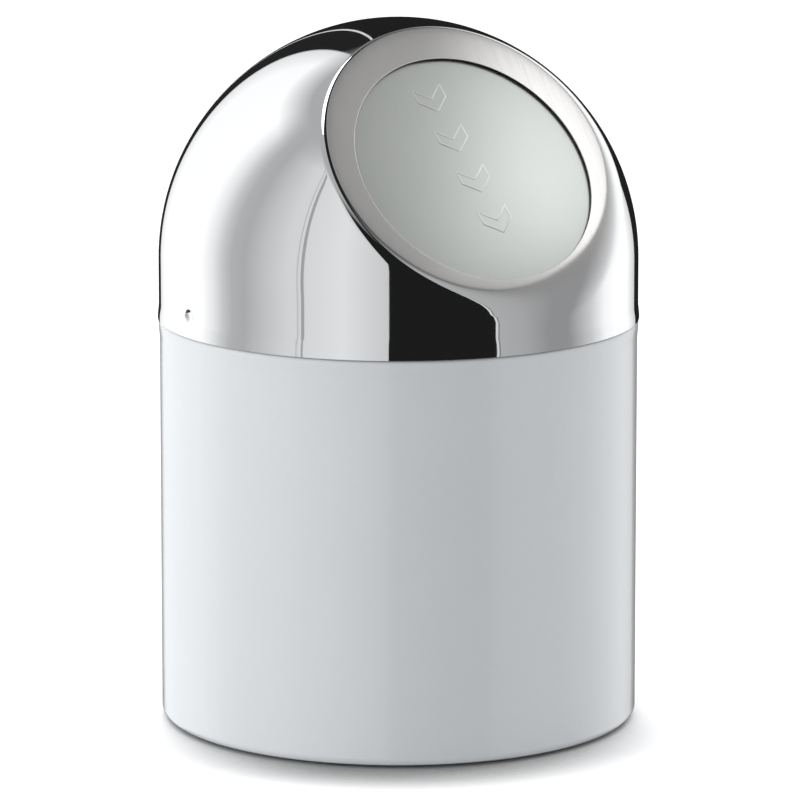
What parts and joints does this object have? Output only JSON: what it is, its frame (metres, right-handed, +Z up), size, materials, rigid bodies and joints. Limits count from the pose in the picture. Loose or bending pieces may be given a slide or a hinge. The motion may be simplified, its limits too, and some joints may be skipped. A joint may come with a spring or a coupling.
{
  "type": "push top countertop bin",
  "caption": "Small round countertop bin with a white can, a lift-off polished dome lid and a round spring-loaded push flap in the lid's sloping flat face.",
  "frame": {"origin": "on the table, under the middle of the round can", "axes": "+Z up along the can, -Y towards the front with the flap, +X to the right as seen from the back"},
  "size_m": [0.1256, 0.1256, 0.1841],
  "materials": {
    "white_lacquer": "smooth satin-gloss white lacquer",
    "floor_steel": "white lacquer, inside floor",
    "pad_rubber": "matt grey rubber",
    "polished_stainless": "mirror-polished stainless steel, satin on the flat rim",
    "insert_plastic": "moulded grey plastic",
    "bracket_steel": "plain pressed zinc-plated sheet",
    "fastener_steel": "zinc-plated fastener",
    "pin_steel": "turned steel",
    "spring_steel": "drawn spring wire",
    "satin_stainless": "fine satin brushed stainless steel",
    "bush_plastic": "natural acetal",
    "bumper_silicone": "clear silicone dot"
  },
  "bodies": {
    "can": {"body_shell": "white_lacquer", "base_plate": "floor_steel", "foot_pad_1": "pad_rubber", "foot_pad_2": "pad_rubber", "foot_pad_3": "pad_rubber", "foot_pad_4": "pad_rubber"},
    "lid": {"lid_dome": "polished_stainless", "lid_insert": "insert_plastic", "hinge_bracket": "bracket_steel", "bracket_studs": "fastener_steel", "bracket_nuts": "fastener_steel", "hinge_pin": "pin_steel", "pin_clip": "spring_steel", "closing_spring": "spring_steel"},
    "flap": {"flap_plate": "satin_stainless", "flap_bracket": "bracket_steel", "flap_studs": "fastener_steel", "flap_nuts": "fastener_steel", "bush_left": "bush_plastic", "bush_right": "bush_plastic", "bumper_1": "bumper_silicone", "bumper_2": "bumper_silicone", "bumper_3": "bumper_silicone"}
  },
  "joints": [
    {"name": "lid_lift", "type": "slide", "parent": "can", "child": "lid", "axis": [0, 0, 1], "range_m": [0, 0.1]},
    {"name": "flap_swing", "type": "hinge", "parent": "lid", "child": "flap", "pos_m": [0, -0.0124, 0.17353], "axis": [1, 0, 0], "range_deg": [0, 70], "stiffness_Nm_per_rad": 0.012, "springref_deg": -57.3, "deforming": ["closing_spring"]}
  ]
}
